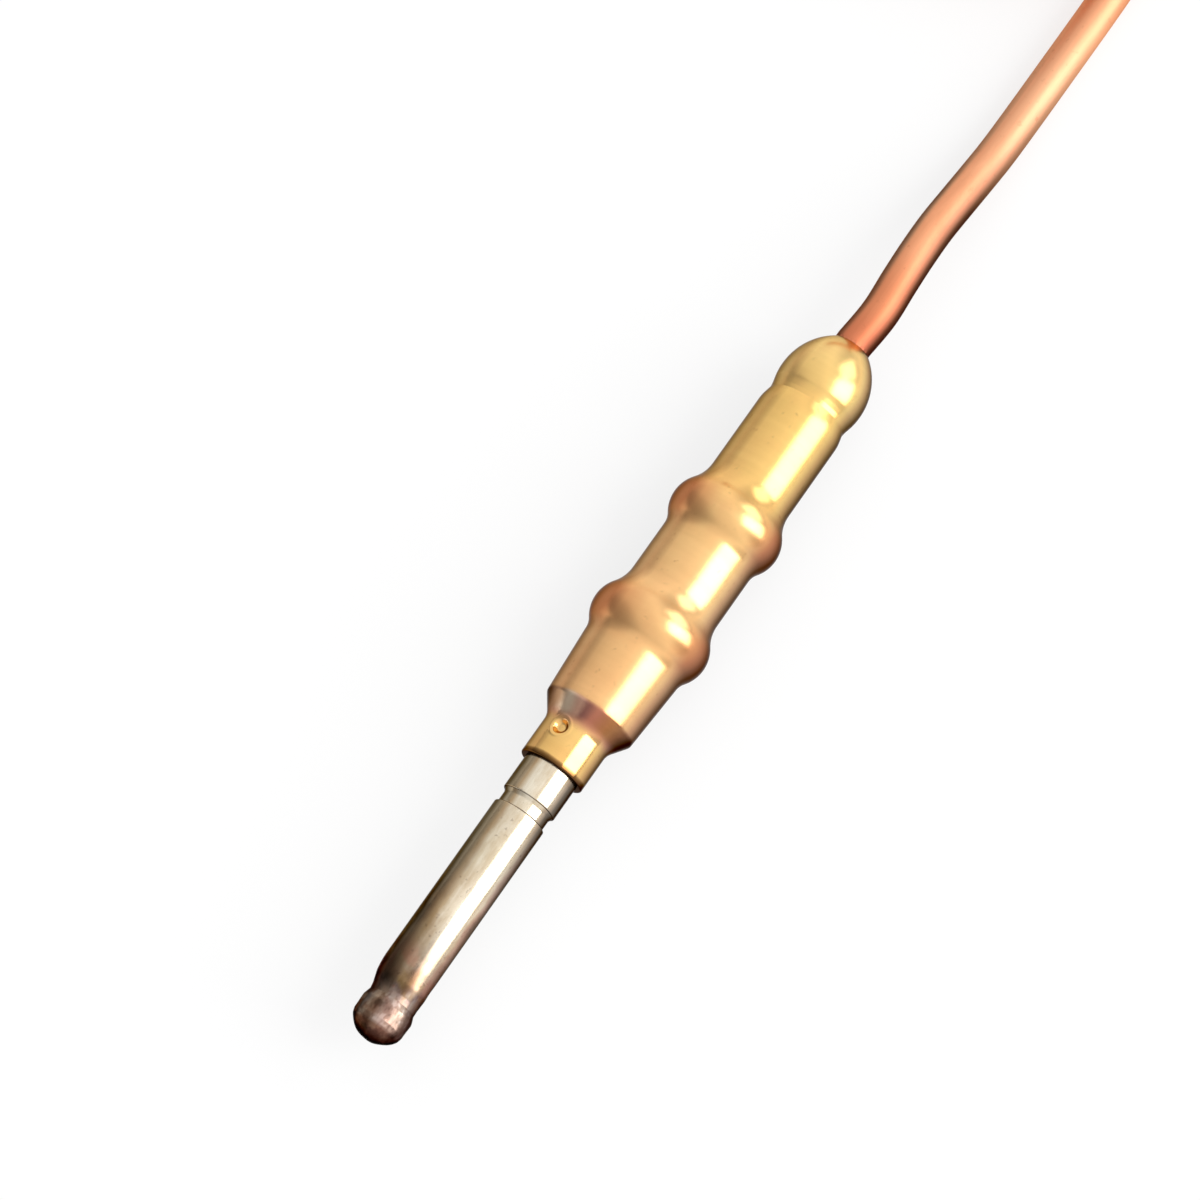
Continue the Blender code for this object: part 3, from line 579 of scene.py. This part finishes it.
# Copper lead: one unbroken line from the sleeve through the coil to the valve end
lead = {"radius": 1.5875, "start": 34.4, "floorZ": 1.6075, "coilX": 89.2, "outer": 18.476, "pitch": 3.635,
        "turns": 1.5, "turnPoints": 72, "lowZ": 2.6075, "highZ": 6.2425, "joinGap": 0.3, "routeSteps": 9,
        "tailX": 125.511, "tailFrom": 1, "tailStep": 0.5, "tailSteps": 25, "levelSteps": 6, "fallSteps": 16,
        "sides": 12,
        "route": ((0.3, 0.0, 1.0), (3.6, -0.26, 1.0), (6.9, -0.07, 0.98), (9.9, 0.1, 0.89), (12.9, 0.21, 0.72),
                  (15.9, 0.18, 0.5), (19.1, 0.12, 0.27), (22.3, 0.06, 0.09), (26.3, 0.05, 0.0),
                  (31.9, 0.01, 0.0), (37.9, -0.02, 0.0), (41.8, 0.0, 0.03), (46.3, 0.0, 0.16))}


def smoothThrough(route, steps):  # curve through the route's points
    spotsOn = [Vector(p) for p in route]
    slopes = [(b - a) / 6 for a, b in zip([spotsOn[0]] + spotsOn[:-1], spotsOn[1:] + [spotsOn[-1]])]
    fine = [spotsOn[0]]
    for a, b, out, into in zip(spotsOn, spotsOn[1:], slopes, slopes[1:]):
        fine += interpolate_bezier(a, a + out, b - into, b, steps)[1:]
    return fine


def coilSpot(turn):  # in on the lower layer, up while the spiral reverses, out on the upper layer
    depth = min(turn, 2 * lead["turns"] - turn)
    climb = min(1.0, max(0.0, 2 * (turn - lead["turns"]) + 0.5))
    return lead["outer"] - lead["pitch"] * depth, lead["lowZ"] + lead["pitch"] * climb


def coilPlace(degrees, radius, height):
    a = math.radians(degrees)
    return Vector((lead["coilX"] + radius * math.cos(a), lead["outer"] + radius * math.sin(a), height))


def leadLine():
    drop = axisZ - lead["floorZ"]
    route = [(lead["start"] + x, y, lead["floorZ"] + share * drop) for x, y, share in lead["route"]]
    route.append((lead["coilX"] - 2 * lead["radius"] - lead["joinGap"], 0.0, lead["lowZ"]))
    points = [Vector((lead["start"], 0.0, axisZ))] + smoothThrough(route, lead["routeSteps"])
    points.append(Vector((lead["coilX"] - 2 * lead["radius"], 0.0, lead["lowZ"])))
    for i in range(round(2 * lead["turns"] * lead["turnPoints"]) + 1):
        turn = i / lead["turnPoints"]
        points.append(coilPlace(360 * turn - 90, *coilSpot(turn)))
    for step in range(lead["tailSteps"]):  # level off the coil, then down to the valve end
        height = lead["highZ"] + (valveZ - lead["highZ"]) * eased((step - lead["levelSteps"]) / lead["fallSteps"])
        points.append(Vector((lead["coilX"] + lead["tailFrom"] + step * lead["tailStep"], 0.0, height)))
    points.append(Vector((lead["tailX"], 0.0, valveZ)))
    return points


def tubeOn(name, points, radius, look, sides):
    line = bpy.data.curves.new(name, "CURVE")
    line.dimensions = "3D"
    line.bevel_depth = radius * mm
    line.bevel_resolution = sides
    line.use_fill_caps = True
    spline = line.splines.new("POLY")
    spline.points.add(len(points) - 1)
    for spot, p in zip(spline.points, points):
        spot.co = (*(p * mm), 1.0)
    spline.use_smooth = True
    return addObject(name, line, look)


leadPoints = leadLine()
leadCord = tubeOn("leadCord", leadPoints, lead["radius"], looks["leadCopper"], lead["sides"])
place(leadCord, "thermocouple", "copper", "lead_run", "lead_coil", "lead_tail")


# Paper-covered wire ties, twisted shut on top of the coil
tie = {"radius": 0.35, "sides": 4, "offset": 2.2375, "bendPoints": 8, "rise": 0.05, "twists": 3.5,
       "twistPoints": 32, "twistFrom": 0.3, "twistLength": 7.0, "twistRadius": 0.42, "lift": 0.12,
       "splayFrom": 0.8, "splay": 6,
       "angles": {"coilTieNear": (150.0, "coil_tie_near"), "coilTieFar": (330.0, "coil_tie_far")}}


def tieLine(angle):
    first = (angle + 90) % 360 / 360
    radii = [coilSpot(first + lap)[0] for lap in range(math.ceil(2 * lead["turns"] - first))]
    near, far = min(radii), max(radii)
    low, high = lead["lowZ"], lead["highZ"]
    loop = []
    for out, level, start in ((far, high, 0), (far, low, 90), (near, low, 180), (near, high, 270)):
        bend = arcLine(out, level, tie["offset"], start, start + 90, tie["bendPoints"])
        loop += [coilPlace(angle, spot[0], spot[1]) for spot in bend]
    side = coilPlace(angle + 90, 1, 0) - coilPlace(angle + 90, 0, 0)  # along the turns
    middle = coilPlace(angle, (near + far) / 2, high + tie["offset"] + tie["rise"])
    outward = coilPlace(angle, 1, 0) - coilPlace(angle, 0, 0)
    up = Vector((0, 0, 1))
    strands = []
    for phase in (0.0, math.pi):
        strand = []
        for k in range(tie["twistPoints"] + 1):
            share = k / tie["twistPoints"]
            turn = 2 * math.pi * tie["twists"] * share + phase
            swing = outward * math.cos(turn) + up * math.sin(turn)
            spread = 1.0 + max(0.0, share - tie["splayFrom"]) * tie["splay"]
            strand.append(middle + side * (tie["twistFrom"] + share * tie["twistLength"])
                          + swing * tie["twistRadius"] * spread + up * tie["lift"])
        strands.append(strand)
    return strands[0][::-1] + loop + strands[1]


for name, (angle, node) in tie["angles"].items():
    loop = tubeOn(name, tieLine(angle), tie["radius"], looks["tiePaper"], tie["sides"])
    place(loop, "thermocouple", "tie_paper", node)


# Probe tip: welded dome
tip = {"length": 3.5, "radius": 2.225, "dome": 1.2, "rim": 2.1, "rimRound": 0.12, "brow": 0.4, "browRound": 0.5,
       "foot": 0.62, "footRound": 0.7, "neck": 2.02, "spigot": 1.15, "spigotEnd": 5.2, "hole": 0.6, "wall": 2.3,
       "domePoints": 16, "roundSteps": 12, "gap": 0.16,
       "lump": 0.05, "lumpScale": 0.9, "lumpBias": 0.35, "lumpCentre": 2.2, "lumpEdge": 0.4, "lumpFade": 1.2,
       "lumpCore": 0.7, "lumpFace": 0.3, "lean": 0.32, "leanFrom": 6.2, "leanTo": 2.8}


def leanOver(bm):  # the weld pulled the probe's end a little to one side
    for v in bm.verts:
        share = (tip["leanFrom"] - (v.co.x / mm - tipX)) / (tip["leanFrom"] - tip["leanTo"])
        v.co.y -= tip["lean"] * eased(share) * mm


def probeTip():
    t = tip
    ball = (t["rim"] ** 2 + t["dome"] ** 2) / (2 * t["dome"])
    dome = arcLine(ball, 0.0, ball, -90, math.degrees(math.asin(t["dome"] / ball - 1)), t["domePoints"])
    line = [Vector((0.0, 0.0))] + dome[1:-1]
    line += easedLine([tuple(dome[-2]), (t["dome"], t["rim"], t["rimRound"]),
                       (t["dome"] + t["brow"], t["radius"], t["browRound"]),
                       (t["length"] - t["foot"], t["radius"], t["footRound"]), (t["length"], t["neck"]),
                       (t["length"], t["spigot"]), (t["spigotEnd"], t["spigot"]), (t["spigotEnd"], t["hole"]),
                       (t["wall"], t["hole"]), (t["wall"], 0.0)], t["roundSteps"])[1:]
    bm = lathe(splitLong(line, t["gap"]), (tipX, 0, axisZ), False)
    edge = t["length"] - t["lumpEdge"]
    for v in bm.verts:  # the weld is a little uneven
        at = v.co.x / mm - tipX
        onSkin = (v.co.yz - Vector((0, axisZ * mm))).length > t["lumpCore"] * mm
        if at < edge and onSkin or at < t["lumpFace"]:
            fade = min(1.0, (edge - at) / t["lumpFade"])
            out = Vector((at - t["lumpCentre"], v.co.y / mm, v.co.z / mm - axisZ)).normalized()
            v.co += out * (noise.noise(v.co / mm * t["lumpScale"]) - t["lumpBias"]) * t["lump"] * fade * mm
    leanOver(bm)
    return toObject(bm, "probeTip", looks["heatSteel"])


place(probeTip(), "thermocouple", "heat_marked_steel", "hot_junction_tip")


# Probe sheath with its neck, groove and reduced tail
sheath = {"start": 3.5, "neck": 2.02, "neckCurve": ((0.5, 2.05, 0.8), (1.5, 2.23, 2.0), (2.9, 2.29, 4.0)),
          "radius": 2.29, "bore": 1.25, "groove": 21.3, "grooveRadius": 2.08, "lip": 0.02, "lipRound": 0.1,
          "slope": 0.08, "slopeRound": 0.06, "flareFrom": 0.3, "flareRound": 0.3, "flare": 0.15, "step": 22.59,
          "tail": 1.7, "tailEnd": 31.6, "gap": 0.4}


def probeSheath():
    s = sheath
    corners = [(s["start"], s["bore"]), (s["start"], s["neck"])]
    corners += [(s["start"] + behind, radius, rounding) for behind, radius, rounding in s["neckCurve"]]
    corners += [(s["groove"] - s["lip"], s["radius"], s["lipRound"]),
                (s["groove"] + s["slope"], s["grooveRadius"], s["slopeRound"]),
                (s["step"] - s["flareFrom"], s["grooveRadius"], s["flareRound"]),
                (s["step"], s["grooveRadius"] + s["flare"]), (s["step"], s["tail"]), (s["tailEnd"], s["tail"]),
                (s["tailEnd"], s["bore"])]
    bm = lathe(splitLong(easedLine(corners), s["gap"]), (tipX, 0, axisZ), True)
    leanOver(bm)
    return toObject(bm, "probeSheath", looks["heatSteel"])


place(probeSheath(), "thermocouple", "steel", "probe_sheath")


# Plain ring at the probe's root, which runs on inside the sleeve as a flanged bush
bush = {"start": 22.6, "bore": 1.8, "ring": 2.36, "ringRound": 0.1, "front": 31.55, "coneHalf": 0.9,
        "coneRounds": (0.6, 0.4), "flange": 3.3, "flangeLength": 3.6, "gap": 0.6}


def rootRing():
    b = bush
    cone = b["front"] + b["coneHalf"]
    line = easedLine([(b["start"], b["bore"]), (b["start"], b["ring"], b["ringRound"]),
                      (b["front"] - b["coneHalf"], b["ring"], b["coneRounds"][0]),
                      (cone, b["flange"], b["coneRounds"][1]), (cone + b["flangeLength"], b["flange"]),
                      (cone + b["flangeLength"], b["bore"])])
    return toObject(lathe(splitLong(line, b["gap"]), (tipX, 0, axisZ), True), "rootRing", looks["heatSteel"])


place(rootRing(), "thermocouple", "steel", "root_bush")
print("probe built")


# Drawn brass sleeve: nose collar with a stake dimple, shoulder, two rolled beads
sleeve = {"nose": 25.7, "noseRadius": 2.84, "noseBore": 2.38, "noseRound": 0.14, "shoulder": 29.35,
          "shoulderRound": 1.5, "front": 31.0, "frontRadius": 3.97, "frontRound": 0.45, "frontRise": (1.2, 0.06),
          "frontBore": 3.4, "bead": 39.55, "beadRadius": 5.2, "swell": 4.325, "mid": 4.075, "bead2": 50.3,
          "bead2Radius": 4.9, "rear": 3.7, "waistCurve": ((1.3, 0.0), (0.9, 0.03), (0.45, 0.12)), "waist": 62.05,
          "waistRadius": 3.475, "wall": 0.6, "crown": 2.8, "fillet": 2.0, "rearFillet": 3.5, "arcPoints": 9,
          "hollowFoot": 2.1, "hollowTop": 0.7, "coneStart": 0.85, "coneEnd": 1.05, "gap": 0.45, "steps": 160,
          "dimpleAt": 28.58, "dimpleTurn": 21.5, "dimpleRadius": 0.8, "dimpleDepth": 0.41, "dimpleFloor": 0.35,
          "dimpleWall": 0.6, "rimHeight": 0.03, "rimAt": 1.12, "rimWidth": 0.13, "fineReach": 1.5, "fineGap": 0.11}


def beadLine(at, peak, before, after):  # convex crown, hollow fillet ahead and a longer one behind
    s = sleeve
    points = []
    for side, base, hollow in ((-1, before, s["fillet"]), (1, after, s["rearFillet"])):
        span = s["crown"] + hollow
        lean = math.degrees(math.acos(1 - (peak - base) / span))
        foot = at + side * span * math.sin(math.radians(lean))
        crown = arcLine(at, peak - s["crown"], s["crown"], 0, side * lean, s["arcPoints"])
        fillet = arcLine(foot, base + hollow, hollow, 180 + side * lean, 180, s["arcPoints"])
        half = crown + fillet[1:]
        points += half[::-1] if side < 0 else half[1:]
    return points


def brassSleeve():
    s = sleeve
    midBore, rearBore = s["mid"] - s["wall"], s["waistRadius"] - s["wall"]
    outside = easedLine([(s["nose"], s["noseBore"]), (s["nose"], s["noseRadius"], s["noseRound"]),
                         (s["shoulder"], s["noseRadius"], s["shoulderRound"]),
                         (s["front"], s["frontRadius"], s["frontRound"]),
                         (s["front"] + s["frontRise"][0], s["frontRadius"] + s["frontRise"][1])], 10)[:-1]
    outside += beadLine(s["bead"], s["beadRadius"], s["swell"], s["mid"])
    outside += beadLine(s["bead2"], s["bead2Radius"], s["mid"], s["rear"])
    outside += [Vector((s["waist"] - before, s["rear"] - dip)) for before, dip in s["waistCurve"]]
    outside.append(Vector((s["waist"], s["waistRadius"])))
    inside = [Vector((s["waist"], rearBore))]
    for at, peak, behind, ahead in ((s["bead2"], s["bead2Radius"], rearBore, midBore),
                                    (s["bead"], s["beadRadius"], midBore, s["frontBore"])):
        inside += [Vector(p) for p in ((at + s["hollowFoot"], behind), (at + s["hollowTop"], peak - s["wall"]),
                                       (at - s["hollowTop"], peak - s["wall"]), (at - s["hollowFoot"], ahead))]
    inside.append(Vector((s["front"] + s["coneEnd"], s["frontBore"])))
    inside.append(Vector((s["shoulder"] + s["coneStart"], s["noseBore"])))
    line = []
    for a, b in zip(outside, outside[1:] + inside[:1]):  # finer around the dimple
        fine = abs((a.x + b.x) / 2 - s["dimpleAt"]) < s["fineReach"]
        line += splitLong([a, b], s["fineGap"] if fine else s["gap"])[:-1]
    bm = lathe(line + inside, (tipX, 0, axisZ), True, s["steps"])
    lean = math.radians(s["dimpleTurn"])
    aim = Vector((0, math.sin(lean), math.cos(lean)))
    centre = Vector((tipX + s["dimpleAt"], 0, axisZ))

    def reach(v):  # distance from the dimple's middle, as a share of its radius
        offset = v.co / mm - centre
        height = offset.dot(aim)
        onSkin = height > 2.0 and offset.yz.length > s["noseRadius"] - 0.1  # outer face, on the dimple's side
        return (offset - aim * height).length / s["dimpleRadius"] if onSkin else math.inf

    close = [e for e in bm.edges if max(reach(v) for v in e.verts) < s["fineReach"]]
    bmesh.ops.subdivide_edges(bm, edges=close, cuts=2, use_grid_fill=True)
    for v in bm.verts:  # stake dimple pressed into the collar, with a faint raised rim
        share = reach(v)
        if share < s["fineReach"]:
            pressed = s["dimpleDepth"] * (1 - eased((share - s["dimpleFloor"]) / s["dimpleWall"]))
            raised = s["rimHeight"] * math.exp(-((share - s["rimAt"]) / s["rimWidth"]) ** 2)
            v.co += aim * (raised - pressed) * mm
    return toObject(bm, "brassSleeve", looks["drawnBrass"])


place(brassSleeve(), "thermocouple", "brass", "mounting_sleeve")


# Rear cap: last bead and the dome that closes on the lead
cap = {"waist": 62.05, "waistRadius": 3.475, "spigot": 2.775, "back": 57.05, "foot": (0.4, 0.05, 0.5),
       "beadAt": 64.26, "beadRadius": 3.8, "dome": 5.5, "turns": (-12, 51.2), "arcPoints": 28, "hole": 1.6875,
       "gap": 0.4}


def rearCap():
    c = cap
    behind, rise, rounding = c["foot"]
    crown = arcLine(c["beadAt"], c["beadRadius"] - c["dome"], c["dome"], *c["turns"], c["arcPoints"])
    corners = [(c["back"], c["hole"]), (c["back"], c["spigot"]), (c["waist"], c["spigot"]),
               (c["waist"], c["waistRadius"]), (c["waist"] + behind, c["waistRadius"] + rise, rounding),
               (crown[0].x - 0.02, crown[0].y - 0.01)]
    line = easedLine(corners) + crown + [Vector((crown[-1].x + 0.02, c["hole"]))]
    return toObject(lathe(splitLong(line, c["gap"]), (tipX, 0, axisZ), True), "rearCap", looks["drawnBrass"])


place(rearCap(), "thermocouple", "brass", "rear_cap")
print("sleeve built")


# Valve end: ferrule, fibre washer and contact button
valve = {"ferrule": 3.1, "backRound": 0.2, "collar": 2.2, "collarRound": 0.5, "noseAt": 5.0, "nose": 2.1,
         "noseRound": 0.15, "core": 0.65, "socket": 3.0, "hole": 1.6875, "fibre": 2.3, "fibreFrom": 5.12,
         "fibreTo": 6.02, "fibreRound": 0.1, "wire": 0.55, "button": 1.85, "buttonFrom": 6.14, "buttonTo": 7.64,
         "buttonHole": 7.04, "buttonRounds": (0.35, 0.08), "steps": 96}


def valveEnd():
    v = valve
    at = (valveX, 0, valveZ)
    line = easedLine([(0.0, v["hole"]), (0.0, v["ferrule"], v["backRound"]),
                      (v["collar"], v["ferrule"], v["collarRound"]), (v["noseAt"], v["nose"], v["noseRound"]),
                      (v["noseAt"], v["core"]), (v["socket"], v["core"]), (v["socket"], v["hole"])])
    ferrule = toObject(lathe(line, at, True), "terminalFerrule", looks["turnedBrass"])
    line = easedLine([(v["fibreFrom"], v["wire"]), (v["fibreFrom"], v["fibre"], v["fibreRound"]),
                      (v["fibreTo"], v["fibre"], v["fibreRound"]), (v["fibreTo"], v["wire"])])
    washer = toObject(lathe(line, at, True, v["steps"]), "fibreWasher", looks["fibre"])
    line = easedLine([(v["buttonTo"], 0.0), (v["buttonTo"], v["button"], v["buttonRounds"][0]),
                      (v["buttonFrom"], v["button"], v["buttonRounds"][1]), (v["buttonFrom"], v["wire"]),
                      (v["buttonHole"], v["wire"]), (v["buttonHole"], 0.0)])
    button = toObject(lathe(line, at, False, v["steps"]), "contactButton", looks["tinPlate"])
    place(ferrule, "thermocouple", "brass", "terminal_ferrule")
    place(washer, "thermocouple", "fibre", "terminal_insulator")
    place(button, "thermocouple", "tin", "contact_button")
    return [ferrule, washer, button]


ends = valveEnd()


# Split lock washer ahead of the nut
lock = {"from": -1.02, "to": -0.12, "bore": 1.7875, "boreRound": 0.1, "radius": 3.6, "rimRound": 0.12,
        "split": 14.0, "steps": 120}


def lockWasher():
    k = lock
    line = easedLine([(k["from"], k["bore"], k["boreRound"]), (k["from"], k["radius"], k["rimRound"]),
                      (k["to"], k["radius"], k["rimRound"]), (k["to"], k["bore"], k["boreRound"])], 4)
    bm = lathe(line, (valveX, 0, valveZ), True, k["steps"], 360.0 - k["split"])
    return toObject(bm, "lockWasher", looks["springSteel"])


ends.append(place(lockWasher(), "washer", "steel", "lock_washer"))


# Connection nut: chamfered hexagon with a rolled right-hand thread
nut = {"back": -11.64, "head": 4.0, "front": -1.14, "flats": 9.525, "faceInset": 0.12, "cornerAngle": 30,
       "cornerRound": 0.18, "bore": 1.7875, "round": 0.15, "major": 4.365, "minor": 3.88, "pitch": 0.794,
       "chamfer": 0.5, "noseDrop": 0.15, "noseRound": 0.1, "steps": 144, "threadFrom": 0.75,
       "threadEnds": (0.35, 0.9), "ribFoot": 0.46, "ribCrest": 0.08, "ribSunk": 0.12, "ribSteps": 72,
       "sharpAngle": 30}


def appliedMesh(thing):
    bpy.context.view_layer.update()
    mesh = bpy.data.meshes.new_from_object(thing.evaluated_get(bpy.context.evaluated_depsgraph_get()))
    thing.modifiers.clear()
    return mesh


def boolean(thing, tool, operation):
    step = thing.modifiers.new("step", "BOOLEAN")
    step.operation = operation
    step.solver = "EXACT"
    step.object = tool
    thing.data = appliedMesh(thing)
    bpy.data.objects.remove(tool)


def connectionNut():
    n = nut
    at = Vector((valveX, 0, valveZ))
    corner = n["flats"] / math.sqrt(3)
    headEnd = n["back"] + n["head"]
    edge = n["flats"] / 2 - n["faceInset"]
    drop = (corner - edge) * math.tan(math.radians(n["cornerAngle"]))
    line = easedLine([(n["back"], n["bore"], n["round"]), (n["back"], edge), (n["back"] + drop, corner + 0.01),
                      (headEnd - drop, corner + 0.01), (headEnd, edge), (headEnd, n["minor"], n["round"]),
                      (n["front"] - n["chamfer"], n["minor"]),
                      (n["front"], n["minor"] - n["noseDrop"], n["noseRound"]),
                      (n["front"], n["bore"], n["round"])])
    piece = toObject(lathe(line, at, True, n["steps"]), "connectionNut", looks["turnedBrass"])
    bm = bmesh.new()  # long hexagon that cuts the turned blank to six flats
    bmesh.ops.create_cone(bm, cap_ends=True, segments=6, radius1=corner * mm, radius2=corner * mm, depth=60 * mm)
    upright = [e for e in bm.edges if abs(e.verts[0].co.z - e.verts[1].co.z) > 1 * mm]
    bmesh.ops.bevel(bm, geom=upright, offset=n["cornerRound"] * mm, affect="EDGES", segments=4, profile=0.5,
                    material=-1)
    bmesh.ops.rotate(bm, verts=bm.verts[:], cent=(0, 0, 0), matrix=Matrix.Rotation(math.pi / 2, 3, "Y"))
    bmesh.ops.translate(bm, verts=bm.verts[:], vec=at * mm)
    boolean(piece, toObject(bm, "hexTool", looks["turnedBrass"]), "INTERSECT")
    turns = (n["front"] - n["threadEnds"][0] - headEnd - n["threadEnds"][1]) / n["pitch"]
    wide, narrow = n["pitch"] * n["ribFoot"], n["pitch"] * n["ribCrest"]
    start, foot = headEnd + n["threadFrom"], n["minor"] - n["ribSunk"]
    rib = [(start - wide, foot), (start - narrow, n["major"]), (start + narrow, n["major"]), (start + wide, foot)]
    bm = lathe([Vector(p) for p in rib], at, True, round(n["ribSteps"] * turns), 360.0 * turns + 0.001,
               turns * n["pitch"])
    boolean(piece, toObject(bm, "threadTool", looks["turnedBrass"]), "UNION")
    shade(piece.data, n["sharpAngle"])
    return piece


ends.append(place(connectionNut(), "nut", "brass", "connection_nut"))
print("valve end built")


# Finishes of the frame's own nodes that stay
kept = {"inner_thermoelement": "rodSteel", "insulator_front": "ceramic", "insulator_middle": "ceramic",
        "insulator_rear": "ceramic", "splice_crimp": "wireCopper", "splice_sleeve": "glassCloth",
        "lead_core_wire": "wireCopper", "lead_core_cover": "glassCloth", "lead_inlet_tube": "leadCopper",
        "terminal_core_wire": "wireCopper"}
for node, look in kept.items():
    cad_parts[node].data.materials.clear()
    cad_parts[node].data.materials.append(looks[look])
